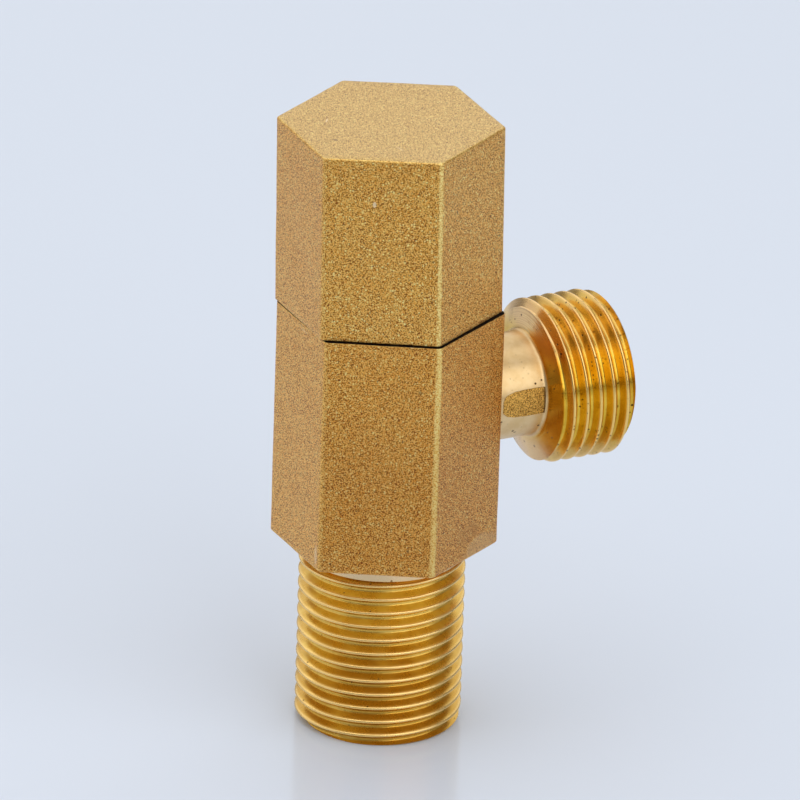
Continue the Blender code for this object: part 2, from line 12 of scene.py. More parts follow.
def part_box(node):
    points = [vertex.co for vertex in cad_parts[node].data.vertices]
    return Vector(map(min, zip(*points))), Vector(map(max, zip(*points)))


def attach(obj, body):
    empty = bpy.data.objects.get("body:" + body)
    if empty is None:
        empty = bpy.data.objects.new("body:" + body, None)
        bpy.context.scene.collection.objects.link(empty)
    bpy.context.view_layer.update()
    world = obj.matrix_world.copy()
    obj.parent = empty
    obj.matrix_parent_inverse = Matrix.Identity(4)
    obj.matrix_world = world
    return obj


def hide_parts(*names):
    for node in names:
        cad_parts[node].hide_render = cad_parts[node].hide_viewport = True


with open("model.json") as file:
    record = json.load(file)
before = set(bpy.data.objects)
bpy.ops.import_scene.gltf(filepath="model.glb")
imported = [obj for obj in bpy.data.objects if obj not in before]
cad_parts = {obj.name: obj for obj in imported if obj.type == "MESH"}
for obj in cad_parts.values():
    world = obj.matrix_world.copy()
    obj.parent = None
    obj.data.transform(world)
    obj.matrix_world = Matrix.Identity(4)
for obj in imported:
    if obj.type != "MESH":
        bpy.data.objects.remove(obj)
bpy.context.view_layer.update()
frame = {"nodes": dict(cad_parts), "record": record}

MM = 0.001
BODY_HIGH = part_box("valve_body")[1]
HANDLE_LOW, HANDLE_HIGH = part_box("handle")
MOUNTS = {mount["name"]: mount for mount in frame["record"]["mounts"]}

# Places and sizes that the frame gives
ACROSS_FLATS = HANDLE_HIGH.x - HANDLE_LOW.x
SEAM_Z = (BODY_HIGH.z + HANDLE_LOW.z) / 2
HANDLE_TOP = HANDLE_HIGH.z
OUTLET_Z = MOUNTS["outlet_end"]["pos_m"][2]
OUTLET_END = BODY_HIGH.x

# Castings
HEX_BOTTOM = 23.7 * MM
SEAM_GAP = 0.125 * MM
HANDLE_CORNER = 0.70 * MM
BODY_CORNER = 0.95 * MM
TOP_ROUND = 0.27 * MM
BOTTOM_ROUND = 0.3 * MM
SEAM_ROUND = 0.06 * MM
CAST_STEP = 0.6 * MM  # between vertices of the castings' skin
HANDLE_OFFSET = (0.0, 0.45 * MM)  # the handle sits this far off the body's axis
HANDLE_LEAN = (-1.13, -0.2)  # degrees towards +X and +Y
HANDLE_TWIST = -0.48
HANDLE_RISE = (0.15 * MM, 0.0075)  # its top is this much too high, and higher by this share of Y
# Single corners that are out of true, and how brightly they are painted, by their number anticlockwise from
# the one at +30 degrees. Corner 4, the upright edge nearest the camera, is painted bright both as rubbing
# and as a painted highlight.
HANDLE_CORNERS = ({3: (-0.18 * MM, 0.09 * MM), 4: (0.13 * MM, -0.06 * MM)}, {4: 0.75})
BODY_CORNERS = ({5: (0.16 * MM, -0.05 * MM)}, {4: 1.0})
USUAL_WEAR = 0.15  # of every other corner
EDGE_WEAR = 0.35  # of the upper and lower edges
SWELL = (5.0 * MM, 0.035 * MM)  # length and height of the skin's waves
RIPPLE = (1.3 * MM, 0.012 * MM)
BODY_TONES = ((0.86, 0.76, 0.65), (0.96, 0.89, 0.80))  # painted shade: the body is painted a little darker towards the bottom
BODY_TONE_HEIGHTS = (34 * MM, 52 * MM)

# G1/2 thread
PITCH = 1.814 * MM
CREST = 10.2 * MM
ROOT = 9.32 * MM
# Distance from the crest's middle and drop below the crest, in mm, as far as the groove's middle
THREAD_PROFILE = [
    (0.0, 0.0), (0.05, 0.006), (0.10, 0.028), (0.15, 0.072), (0.20, 0.15), (0.34, 0.419),
    (0.48, 0.688), (0.60, 0.918), (0.68, 1.02), (0.78, 1.06), (0.907, 1.07),
]
INLET_PHASE = 0.25 * MM
OUTLET_PHASE = 1.41 * MM
THREAD_SEGMENTS = 144
THREAD_UNEVEN = 0.014 * MM
INLET_CHAMFER = 0.6 * MM
OUTLET_CHAMFER = 0.7 * MM
THREAD_TOP = 21.92 * MM
SHANK = 9.95 * MM
PALE_FLANK = 9.8 * MM  # from this radius out to the crest, the thread is rubbed paler

# Outlet neck and shoulder
NECK = 6.45 * MM
SHOULDER_X = 18.6 * MM
SHOULDER_RADIUS = 7.05 * MM
SHOULDER_END = 19.35 * MM
NECK_FILLET = 0.5 * MM

# Waterways and the room for the cartridge
INLET_BORE = 7.0 * MM
INLET_BORE_TOP = 30.5 * MM
SEAT_Z = 34.0 * MM
SEAT_HOLE = 5.0 * MM
CHAMBER = 9.4 * MM
CHAMBER_TOP = 44.6 * MM
HOUSING_HOLE = 9.2 * MM
COUNTERBORE = 10.5 * MM
COUNTERBORE_Z = 51.2 * MM
OUTLET_BORE = 4.6 * MM
OUTLET_MOUTH = 6.6 * MM
OUTLET_MOUTH_DEPTH = 7.0 * MM
BORE_CHAMFER = 0.3 * MM

# Inside of the handle
CAVITY = 10.2 * MM
CAVITY_ROOF = 75.5 * MM
CAVITY_CHAMFER = 0.8 * MM
BOSS = 6.2 * MM
BOSS_BOTTOM = 66.5 * MM
BOSS_CHAMFER = 0.3 * MM
BOSS_FILLET = 0.6 * MM
SPLINE_TOP = 74.0 * MM
SPLINE_TEETH = 20
SPLINE_RADIUS = 4.0 * MM
SPLINE_WAVE = 0.22 * MM
SCREW_Z = 70.0 * MM
SCREW_ANGLE = 60.0
SCREW_HOLE = 2.2 * MM
SCREW_PAD = 3.4 * MM

# The outlet's parting line and the patch of cast skin on its neck. Angles go round the outlet's axis in
# degrees, from -Y upwards.
PARTING_ANGLE = 12.2
PATCH_X = 16.5 * MM
PATCH_HALF_LENGTH = 3.95 * MM
PATCH_END = 18.22 * MM
PATCH_ANGLE = 1.8
PATCH_HALF_ANGLE = 15.5
PATCH_POWER = 3.2  # 2 would make it an ellipse, and more squares its corners

# Large pits at the outlet, as centre and radii
NECK_PITS = [
    ((14.55 * MM, -5.26 * MM, 37.37 * MM), (0.16 * MM, 0.5 * MM, 0.16 * MM)),
    ((14.95 * MM, -5.05 * MM, 37.05 * MM), (0.20 * MM, 0.5 * MM, 0.07 * MM)),
    ((18.3 * MM, -6.9 * MM, 36.2 * MM), (0.5 * MM, 0.36 * MM, 0.14 * MM)),
]

# Marks on the castings, as centre, radii, turn about Z in degrees, colour and strength
CREAM = (1.0, 0.82, 0.52)
BROWN = (0.22, 0.08, 0.01)
BODY_MARKS = [
    ((8.8 * MM, -8.8 * MM, 24.6 * MM), (1.5 * MM, 3.4 * MM, 1.6 * MM), -60.0, (0.72, 0.44, 0.18), 0.5),
    ((6.4 * MM, -10.2 * MM, 27.2 * MM), (1.5 * MM, 2.6 * MM, 1.3 * MM), -60.0, (0.50, 0.21, 0.03), 0.35),
    ((-12.0 * MM, -5.9 * MM, 25.6 * MM), (0.6 * MM, 0.35 * MM, 1.4 * MM), 0.0, CREAM, 0.4),
    ((-1.9 * MM, -12.76 * MM, 48.15 * MM), (0.35 * MM, 0.35 * MM, 0.10 * MM), 0.0, BROWN, 0.8),
    ((-3.0 * MM, -12.1 * MM, 54.0 * MM), (0.2 * MM, 0.3 * MM, 0.10 * MM), 0.0, CREAM, 0.8),
    ((-12.0 * MM, -1.0 * MM, 53.2 * MM), (0.4 * MM, 1.0 * MM, 0.06 * MM), 0.0, CREAM, 0.5),
]
HANDLE_MARKS = [
    ((-7.3 * MM, -9.6 * MM, 72.2 * MM), (0.22 * MM, 0.4 * MM, 0.42 * MM), 0.0, CREAM, 0.85),
    ((-9.0 * MM, -1.9 * MM, 78.0 * MM), (0.30 * MM, 0.42 * MM, 0.5 * MM), 20.0, BROWN, 0.55),
    ((4.7 * MM, 2.5 * MM, 78.0 * MM), (0.14 * MM, 0.16 * MM, 0.5 * MM), 0.0, BROWN, 0.9),
    ((4.3 * MM, -2.2 * MM, 78.0 * MM), (0.16 * MM, 0.14 * MM, 0.5 * MM), 0.0, BROWN, 0.8),
    ((-7.4 * MM, 3.8 * MM, 78.0 * MM), (0.10 * MM, 0.70 * MM, 0.5 * MM), -35.0, CREAM, 0.7),
    ((-3.1 * MM, -7.4 * MM, 78.0 * MM), (0.06 * MM, 0.90 * MM, 0.5 * MM), 10.0, CREAM, 0.6),
]

# Camera
CAMERA_AZIMUTH = -26.74
CAMERA_ELEVATION = 23.58
CAMERA_ROLL = 1.86
CAMERA_DISTANCE = 1.5
CAMERA_TARGET = (1.55 * MM, 41.79 * MM)  # to the camera's right, and up
CAMERA_LENS = 556.9

# Places in a casting's list of materials
CAST, INLET_TURNED, OUTLET_TURNED, BORED, SEAM = range(5)

SHARP_ANGLE = math.radians(32)


# ---------------------------------------------------------------- shapes

def finish_mesh(name, bm, materials=(), index=0):
    bmesh.ops.remove_doubles(bm, verts=bm.verts, dist=1e-8)
    bmesh.ops.recalc_face_normals(bm, faces=bm.faces)
    for face in bm.faces:
        face.material_index = index
    mesh = bpy.data.meshes.new(name)
    bm.to_mesh(mesh)
    bm.free()
    for material in materials:
        mesh.materials.append(material)
    mesh.shade_smooth()
    mesh.set_sharp_from_angle(angle=SHARP_ANGLE)
    return mesh


def add_object(name, mesh):
    obj = bpy.data.objects.new(name, mesh)
    bpy.context.scene.collection.objects.link(obj)
    return obj


def bridge_rings(bm, rings, closed=False):
    """Faces between neighbouring rings of vertices. A ring of one vertex closes the surface."""
    pairs = list(zip(rings, rings[1:]))
    if closed:
        pairs.append((rings[-1], rings[0]))
    for lower, upper in pairs:
        count = max(len(lower), len(upper))
        for i in range(count):
            j = (i + 1) % count
            corners = [lower[i % len(lower)], lower[j % len(lower)]]
            corners += [upper[j % len(upper)], upper[i % len(upper)]]
            corners = list(dict.fromkeys(corners))
            if len(corners) > 2:
                bm.faces.new(corners)


def turned(name, profile, segments=96, step=None, **look):
    """The closed outline of (radius, height) points turned about Z. Long runs are split at the step."""
    points = []
    for (r0, z0), (r1, z1) in zip(profile, profile[1:] + profile[:1]):
        length = math.hypot(r1 - r0, z1 - z0)
        parts = max(1, math.ceil(length / step)) if step and (r0 or r1) else 1
        points += [(r0 + (r1 - r0) * k / parts, z0 + (z1 - z0) * k / parts) for k in range(parts)]
    bm = bmesh.new()
    rings = []
    for radius, height in points:
        if radius == 0:
            rings.append([bm.verts.new((0, 0, height))])
            continue
        angles = [2 * math.pi * i / segments for i in range(segments)]
        rings.append([bm.verts.new((radius * math.cos(a), radius * math.sin(a), height)) for a in angles])
    bridge_rings(bm, rings, closed=True)
    return finish_mesh(name, bm, **look)


def extruded(name, outline, bottom, top, **look):
    bm = bmesh.new()
    floor = [bm.verts.new((x, y, bottom)) for x, y in outline]
    roof = [bm.verts.new((x, y, top)) for x, y in outline]
    bm.faces.new(floor)
    bm.faces.new(roof)
    bridge_rings(bm, [floor, roof])
    return finish_mesh(name, bm, **look)


def circle(radius, count):
    angles = [2 * math.pi * i / count for i in range(count)]
    return [(radius * math.cos(a), radius * math.sin(a)) for a in angles]


def rounded_hexagon(across_flats, corner_round, step, offsets, corner_rub_and_highlight):
    """(point, outward normal, brightness) round a hexagon with a flat facing +X and rounded corners. offsets
    moves single corners and the last argument paints them bright, as rubbing and as painted highlight, by
    their number."""
    reach = (across_flats / 2 - corner_round) / math.cos(math.radians(30))
    pairs = []
    steps = 6
    for corner in range(6):
        middle = 30 + 60 * corner
        centre = Vector((math.cos(math.radians(middle)), math.sin(math.radians(middle)))) * reach
        centre += Vector(offsets.get(corner, (0, 0)))
        for k in range(steps + 1):
            a = math.radians(middle - 30 + 60 * k / steps)
            normal = Vector((math.cos(a), math.sin(a)))
            rub_and_highlight_share = min(1.0, 1.6 * math.sin(math.pi * k / steps)) * corner_rub_and_highlight.get(corner, USUAL_WEAR)
            pairs.append((centre + normal * corner_round, normal, rub_and_highlight_share))
        following = math.radians(middle + 60)
        next_centre = Vector((math.cos(following), math.sin(following))) * reach
        next_centre += Vector(offsets.get((corner + 1) % 6, (0, 0)))
        normal = pairs[-1][1]
        start = pairs[-1][0]
        end = next_centre + normal * corner_round
        count = math.ceil((end - start).length / step)
        pairs += [(start.lerp(end, k / count), normal, 0.0) for k in range(1, count)]
    return pairs


def edge_levels(bottom, top, bottom_round, top_round):
    """(inset, height, wear) of each ring of vertices up the side of a block with rounded edges."""
    steps = 4
    levels = []
    for k in range(steps):
        a = math.pi / 2 * k / steps
        inset = bottom_round * (1 - math.sin(a))
        levels.append((inset, bottom + bottom_round * (1 - math.cos(a)), EDGE_WEAR * math.sin(2 * a)))
    rows = math.ceil((top - bottom - bottom_round - top_round) / CAST_STEP)
    for k in range(rows + 1):
        share = k / rows
        levels.append((0.0, bottom + bottom_round + (top - top_round - bottom - bottom_round) * share, 0.0))
    for k in range(1, steps + 1):
        a = math.pi / 2 * k / steps
        inset = top_round * (1 - math.cos(a))
        levels.append((inset, top - top_round + top_round * math.sin(a), EDGE_WEAR * math.sin(2 * a)))
    return levels


def cap_rings(bm, outline, height, inset):
    """Rings of vertices from just inside the outline to the middle of a level face."""
    shrink = math.ceil(ACROSS_FLATS / 2 / (2 * CAST_STEP))
    rings = []
    for k in range(1, shrink):
        scale = 1 - k / shrink
        rings.append([bm.verts.new((*((p - n * inset) * scale), height)) for p, n, _ in outline])
    rings.append([bm.verts.new((0, 0, height))])
    return rings


def cast_block(name, bottom, top, bottom_round, top_round, seed, corner_round, corners, **look):
    """A hexagonal block with rounded edges and the slightly uneven skin of a sand casting. corners holds the
    offsets of single corners and how brightly they are painted, as rubbing and as painted highlight."""
    outline = rounded_hexagon(ACROSS_FLATS, corner_round, CAST_STEP, *corners)
    levels = edge_levels(bottom, top, bottom_round, top_round)
    bm = bmesh.new()
    # how brightly each vertex is painted: rubbing on the edges and corners, and a painted highlight on the
    # corner nearest the camera
    rub_and_highlight = bm.verts.layers.float.new("rub_and_highlight")
    sides = [[bm.verts.new((*(p - n * inset), z)) for p, n, _ in outline] for inset, z, _ in levels]
    for ring, (_, _, level_wear) in zip(sides, levels):
        for v, (_, _, corner_rub_and_highlight) in zip(ring, outline):
            v[rub_and_highlight] = max(corner_rub_and_highlight, level_wear)
    floor = cap_rings(bm, outline, bottom, bottom_round)
    roof = cap_rings(bm, outline, top, top_round)
    bridge_rings(bm, list(reversed(floor)) + sides + roof)
    bm.normal_update()
    offset = Vector((seed, 0, 0))
    for v in bm.verts:
        broad = noise.noise(v.co / SWELL[0] + offset)
        fine = noise.noise(v.co / RIPPLE[0] + offset)
        v.co += v.normal * (SWELL[1] * broad + RIPPLE[1] * fine)
    mesh = finish_mesh(name, bm, **look)
    # painted shade: the level faces at the seam get the near-black seam material
    for face in mesh.polygons:
        if abs(face.normal.z) > 0.9 and abs(face.center.z - SEAM_Z) < SEAM_GAP:
            face.material_index = SEAM
    return mesh


def thread_rows():
    """(rise within one pitch, radius) of each row of vertices from one crest to the next."""
    half = [(away * MM, CREST - drop * MM) for away, drop in THREAD_PROFILE]
    return half + [(PITCH - rise, radius) for rise, radius in reversed(half[1:-1])]


def thread_rod(name, phase, bottom, top, **look):
    """A solid rod with a right-hand thread, whose rows of faces follow the helix."""
    rows = thread_rows()
    first = math.floor((bottom - phase) / PITCH) - 2
    turns = math.ceil((top - bottom) / PITCH) + 4
    bm = bmesh.new()
    grid = []
    for turn in range(turns):
        for rise, radius in rows:
            ring = []
            for i in range(THREAD_SEGMENTS):
                a = 2 * math.pi * i / THREAD_SEGMENTS
                height = phase + (first + turn + i / THREAD_SEGMENTS) * PITCH + rise
                uneven = noise.noise((4 * math.cos(a), 4 * math.sin(a), height / (2 * MM)))
                r = radius + THREAD_UNEVEN * uneven
                ring.append(bm.verts.new((r * math.cos(a), r * math.sin(a), height)))
            grid.append(ring)
    last = THREAD_SEGMENTS - 1  # from here the helix goes on one turn further up
    for row in range(len(grid) - len(rows) - 1):
        lower, upper = grid[row], grid[row + 1]
        for i in range(last):
            bm.faces.new([lower[i], lower[i + 1], upper[i + 1], upper[i]])
        bm.faces.new([lower[last], grid[row + len(rows)][0], grid[row + 1 + len(rows)][0], upper[last]])
    for height, outwards in ((bottom, -1), (top, 1)):
        everything = bm.verts[:] + bm.edges[:] + bm.faces[:]
        bmesh.ops.bisect_plane(
            bm, geom=everything, plane_co=(0, 0, height), plane_no=(0, 0, outwards), clear_outer=True
        )
    bmesh.ops.delete(bm, geom=[v for v in bm.verts if not v.link_faces], context="VERTS")
    bmesh.ops.holes_fill(bm, edges=[e for e in bm.edges if e.is_boundary])
    return finish_mesh(name, bm, **look)


def combined(name, base, steps):
    """The mesh that is left after joining and cutting base with each (operation, mesh) in turn."""
    obj = add_object(name, base)
    helpers = []
    for operation, mesh in steps:
        helper = add_object(name + "_helper", mesh)
        helpers.append(helper)
        modifier = obj.modifiers.new(operation, "BOOLEAN")
        modifier.operation = operation
        modifier.solver = "EXACT"
        modifier.object = helper
    bpy.context.view_layer.update()
    graph = bpy.context.evaluated_depsgraph_get()
    result = bpy.data.meshes.new_from_object(obj.evaluated_get(graph))
    for helper in helpers + [obj]:
        bpy.data.objects.remove(helper)
    result.name = name
    result.shade_smooth()
    result.set_sharp_from_angle(angle=SHARP_ANGLE)
    return result


def place(mesh, angle, height):
    """Turns the mesh so that its +Z points outwards at the angle, from the stem's axis at the height."""
    turn = Matrix.Rotation(math.radians(angle), 4, "Z") @ Matrix.Rotation(math.radians(90), 4, "Y")
    mesh.transform(Matrix.Translation((0, 0, height)) @ turn)
    return mesh


# ---------------------------------------------------------------- materials

class Shader:
    """A material's node tree, with short calls for the nodes that the looks are made of."""

    def __init__(self, name):
        self.material = bpy.data.materials.new(name)
        self.material.use_nodes = True
        self.tree = self.material.node_tree
        self.bsdf = self.tree.nodes["Principled BSDF"]
        self.coords = self.add("ShaderNodeTexCoord").outputs["Object"]
        self.noises = 0  # how many noises the material has so far

    def add(self, kind, **settings):
        node = self.tree.nodes.new(kind)
        for key, value in settings.items():
            setattr(node, key, value)
        return node

    def feed(self, socket, value):
        if isinstance(value, bpy.types.NodeSocket):
            self.tree.links.new(value, socket)
        else:
            socket.default_value = value

    def math(self, operation, a, b=0.0):
        node = self.add("ShaderNodeMath", operation=operation)
        self.feed(node.inputs[0], a)
        self.feed(node.inputs[1], b)
        return node.outputs[0]

    def attribute(self, name):
        return self.add("ShaderNodeAttribute", attribute_name=name).outputs["Fac"]

    def facing(self, axis):
        """How far the surface faces along an axis, from -1 to 1."""
        split = self.add("ShaderNodeSeparateXYZ")
        self.feed(split.inputs[0], self.add("ShaderNodeTexCoord").outputs["Normal"])
        return split.outputs[axis]

    def axis(self, name):
        """The place along an axis, in metres."""
        split = self.add("ShaderNodeSeparateXYZ")
        self.feed(split.inputs[0], self.coords)
        return split.outputs[name]

    def noise(self, size, detail=2.0, roughness=0.5, stretch=(1, 1, 1), distortion=0.0):
        """Noise whose features are about size across, from 0 to 1."""
        mapping = self.add("ShaderNodeMapping")
        self.feed(mapping.inputs["Vector"], self.coords)
        mapping.inputs["Scale"].default_value = [s / size for s in stretch]
        if stretch == (1, 1, 1):  # turned, to keep the noises' grids off the faces and off each other
            self.noises += 1
            turn = (0.6 + 0.7 * self.noises, 0.9, 0.4 + 1.1 * self.noises)
            mapping.inputs["Rotation"].default_value = turn
        node = self.add("ShaderNodeTexNoise")
        self.feed(node.inputs["Vector"], mapping.outputs[0])
        node.inputs["Scale"].default_value = 1.0
        node.inputs["Detail"].default_value = detail
        node.inputs["Roughness"].default_value = roughness
        node.inputs["Distortion"].default_value = distortion
        return node.outputs["Fac"]

    def cells(self, size):
        """(distance from the cell's centre, random number of the cell) for cells about size across."""
        node = self.add("ShaderNodeTexVoronoi")
        self.feed(node.inputs["Vector"], self.coords)
        node.inputs["Scale"].default_value = 1.0 / size
        parts = self.add("ShaderNodeSeparateColor")
        self.feed(parts.inputs[0], node.outputs["Color"])
        return node.outputs["Distance"], parts.outputs["Red"]

    def vector(self, operation, a, b=None):
        node = self.add("ShaderNodeVectorMath", operation=operation)
        self.feed(node.inputs[0], a)
        if b is not None:
            self.feed(node.inputs[1], b)
        return node.outputs["Value" if operation == "LENGTH" else "Vector"]

    def blob(self, centre, radii, turn=0.0, ragged=0.35):
        """A soft, ragged patch: centre and radii in metres, turned about Z by degrees."""
        spin = self.add("ShaderNodeVectorRotate", rotation_type="Z_AXIS")
        self.feed(spin.inputs["Vector"], self.vector("SUBTRACT", self.coords, centre))
        spin.inputs["Angle"].default_value = math.radians(-turn)
        length = self.vector("LENGTH", self.vector("DIVIDE", spin.outputs[0], radii))
        uneven = self.math("SUBTRACT", self.noise(max(radii) / 3, detail=2.0), 0.5)
        length = self.math("ADD", length, self.math("MULTIPLY", uneven, 2 * ragged))
        return self.ramp(length, 0.75, 1.1, 1.0, 0.0)

    def ramp(self, value, low, high, out_low=0.0, out_high=1.0):
        """A smooth step from out_low to out_high, as the value goes from low to high."""
        node = self.add("ShaderNodeMapRange", interpolation_type="SMOOTHSTEP")
        inputs = {"Value": value, "From Min": low, "From Max": high, "To Min": out_low, "To Max": out_high}
        for key, number in inputs.items():
            self.feed(node.inputs[key], number)
        return node.outputs[0]

    def mix(self, share, a, b, blend="MIX"):
        node = self.add("ShaderNodeMix", data_type="RGBA", blend_type=blend)
        self.feed(node.inputs[0], share)
        for socket, value in ((node.inputs[6], a), (node.inputs[7], b)):
            self.feed(socket, value if isinstance(value, bpy.types.NodeSocket) else (*value, 1.0))
        return node.outputs[2]

    def bump(self, height, depth, normal=None):
        node = self.add("ShaderNodeBump")
        node.inputs["Strength"].default_value = 1.0
        self.feed(node.inputs["Distance"], depth)
        self.feed(node.inputs["Height"], height)
        if normal is not None:
            self.feed(node.inputs["Normal"], normal)
        return node.outputs[0]

    def finish(self, **sockets):
        for name, value in sockets.items():
            socket = self.bsdf.inputs[name.replace("_", " ")]
            if isinstance(value, tuple) and len(value) == 3 and socket.type == "RGBA":
                value = (*value, 1.0)
            self.feed(socket, value)
        return self.material


def cast_skin(s):
    """(colour, roughness, bump height, haze) of blasted sand-cast brass: a tight, glittering grain, with
    painted glints, and a top face painted paler as the light from above shows it.
    """
    grain = s.noise(0.12 * MM, detail=1.0, roughness=0.4)
    glint = s.noise(0.125 * MM, detail=0.0)
    coarse = s.noise(0.45 * MM, detail=2.0)
    mottle = s.noise(7.0 * MM, detail=4.0, roughness=0.55)
    level = s.ramp(s.facing("Z"), 0.7, 0.95)  # the top face, painted paler and greener and with weaker specks, as the light from above shows it
    strength = s.ramp(level, 0.0, 1.0, 1.0, 0.75)
    colour = s.mix(s.ramp(grain, 0.32, 0.68), (0.75, 0.280, 0.016), (1.0, 0.545, 0.090))
    colour = s.mix(s.ramp(mottle, 0.35, 0.70, 0.0, 0.35), colour, (0.92, 0.47, 0.09))
    # painted light: the top face is painted paler and greener
    colour = s.mix(s.math("MULTIPLY", level, 0.42), colour, (0.58, 0.57, 0.27))
    # painted glints: the bright specks
    bright = s.math("MULTIPLY", s.ramp(glint, 0.57, 0.65, 0.0, 0.75), strength)
    dark = s.math("MULTIPLY", s.ramp(glint, 0.36, 0.43, 1.0, 0.0), strength)
    colour = s.mix(bright, colour, (1.0, 0.76, 0.22))
    colour = s.mix(dark, colour, (0.21, 0.036, 0.001))
    # painted glints: brighter sparkles, fewer on the -X face and the top, as the light gives them there
    lively = s.math("MULTIPLY", strength, s.ramp(s.facing("X"), -0.95, -0.7, 0.45, 1.0))
    painted_sparkle = s.math("MULTIPLY", pits(s, 0.28 * MM, 0.5, 0.115 * MM), lively)
    colour = s.mix(painted_sparkle, colour, (1.0, 0.86, 0.33))
    pit = pits(s, 0.9 * MM, 0.5, 0.14 * MM)
    colour = s.mix(s.math("MULTIPLY", pit, 0.8), colour, (0.10, 0.03, 0.001))
    # edges and corners painted pale yellow, as rubbing, and on the corner nearest the camera as a painted
    # highlight
    rub_and_highlight = s.math("MULTIPLY", s.attribute("rub_and_highlight"), s.ramp(coarse, 0.3, 0.55, 0.55, 0.95))
    colour = s.mix(rub_and_highlight, colour, s.mix(s.ramp(glint, 0.35, 0.55), (0.86, 0.48, 0.06), (1.0, 0.88, 0.36)))
    height = s.math("ADD", grain, s.math("MULTIPLY", coarse, 0.3))
    rough = s.ramp(grain, 0.35, 0.75, 0.48, 0.36)
    haze = s.math("MULTIPLY", s.ramp(level, 0.0, 1.0, 0.65, 0.9), s.ramp(glint, 0.32, 0.50, 0.35, 1.0))
    haze = s.math("ADD", haze, s.ramp(glint, 0.60, 0.70, 0.0, 0.3))
    return colour, rough, height, haze


def cast_brass(name, low_tone, high_tone, heights, marks):
    """A casting's outer skin. The tones paint shade on it, blending between the two heights, on every face
    but the -X one.
    """
    s = Shader(name)
    colour, rough, height, haze = cast_skin(s)
    tone = s.mix(s.ramp(s.axis("Z"), *heights), low_tone, high_tone)
    tone = s.mix(s.ramp(s.facing("X"), -0.95, -0.7, 1.0, 0.0), tone, (1.0, 0.98, 0.95))
    colour = s.mix(1.0, colour, tone, "MULTIPLY")
    for centre, radii, turn, tint, strength in marks:
        mask = s.blob(centre, radii, turn)
        colour = s.mix(s.math("MULTIPLY", mask, strength), colour, tint)
    bump = s.bump(height, 0.035 * MM)
    return s.finish(
        Base_Color=colour, Metallic=1.0, Roughness=rough, Normal=bump, Coat_Weight=haze, Coat_Roughness=0.5
    )


def painted_seam_shade():
    """The two faces that meet at the seam, painted near-black as the shade inside the thin gap between body
    and handle, a little mottled.
    """
    s = Shader("seam_painted_shade")
    stain = s.ramp(s.noise(0.8 * MM, detail=3.0), 0.35, 0.7)
    colour = s.mix(stain, (0.004, 0.002, 0.001), (0.02, 0.010, 0.003))
    return s.finish(Base_Color=colour, Metallic=0.0, Roughness=0.9, Specular_IOR_Level=0.1)


def pits(s, size, share, radius):
    """A mask of scattered round pits: size is their spacing and share how many cells hold one."""
    distance, chance = s.cells(size)
    reach = s.ramp(chance, 1 - share, 1.0, 0.0, radius / size)
    inside = s.ramp(s.math("SUBTRACT", distance, reach), -0.03, 0.01, 1.0, 0.0)
    return s.math("MULTIPLY", inside, s.ramp(reach, 0.0, 0.01))


def tool_lines(s, position, pitch):
    """Irregular lines that a cutting tool leaves across a position, from 0 to 1."""
    line = s.add("ShaderNodeTexNoise", noise_dimensions="1D")
    s.feed(line.inputs["W"], s.math("MULTIPLY", position, 1 / pitch))
    line.inputs["Scale"].default_value = 1.0
    line.inputs["Detail"].default_value = 2.0
    return line.outputs["Fac"]


def turned_brass(name, threaded=False, rough=0.20):
    """Bright turned brass, with fine tool marks round the stem's axis, small pits and stains. A threaded
    one gets pale crests, and a pale shank above them."""
    s = Shader(name)
    stain = s.noise(2.2 * MM, detail=4.0, roughness=0.6)
    pit = pits(s, 1.1 * MM, 0.5, 0.13 * MM)
    blotch = s.noise(6.0 * MM, detail=3.0)
    tarnish = s.math("ADD", blotch, s.ramp(s.axis("Z"), 3 * MM, 18 * MM, -0.14, 0.10))
    colour = s.mix(s.ramp(stain, 0.35, 0.7), (0.80, 0.50, 0.10), (0.90, 0.62, 0.15))
    colour = s.mix(s.ramp(tarnish, 0.32, 0.68, 0.75, 0.0), colour, (0.62, 0.33, 0.04))
    if threaded:
        x, y = s.axis("X"), s.axis("Y")
        radius = s.math("SQRT", s.math("ADD", s.math("MULTIPLY", x, x), s.math("MULTIPLY", y, y)))
        colour = s.mix(s.ramp(radius, PALE_FLANK, CREST), colour, (0.98, 0.68, 0.26))
        shank = s.ramp(s.axis("Z"), THREAD_TOP - 0.1 * MM, THREAD_TOP + 0.3 * MM, 0.0, 0.85)
        colour = s.mix(shank, colour, (0.84, 0.62, 0.38))
    colour = s.mix(s.math("MULTIPLY", pit, 0.8), colour, (0.09, 0.04, 0.01))
    bump = s.bump(tool_lines(s, s.axis("Z"), 0.05 * MM), 0.0012 * MM)
    bump = s.bump(pit, -0.03 * MM, bump)
    roughness = s.ramp(stain, 0.3, 0.75, rough - 0.04, rough + 0.06)
    return s.finish(Base_Color=colour, Metallic=1.0, Roughness=roughness, Normal=bump)


def outlet_amber(s, stain, x, rise, radius):
    """The colour of the outlet's thread and shoulder: amber, with pale crests, and a pale tan painted
    reflection on its upper and lower sides, strongest on the shoulder.
    """
    amber = s.mix(s.ramp(stain, 0.35, 0.7), (0.72, 0.43, 0.040), (0.87, 0.57, 0.08))
    amber = s.mix(s.ramp(s.noise(5.0 * MM, detail=3.0), 0.35, 0.6, 0.5, 0.0), amber, (0.60, 0.32, 0.03))
    amber = s.mix(s.ramp(radius, PALE_FLANK, CREST), amber, (0.97, 0.64, 0.20))
    # painted reflection: the upper and lower sides painted pale tan, most on the shoulder
    limb_reflection = s.ramp(s.math("ABSOLUTE", rise), 4.5 * MM, 8.0 * MM, 0.0, 0.6)
    limb_reflection = s.math("MULTIPLY", limb_reflection, s.ramp(x, SHOULDER_END, SHOULDER_END + 1.2 * MM, 1.0, 0.35))
    return s.mix(limb_reflection, amber, (0.88, 0.60, 0.38))


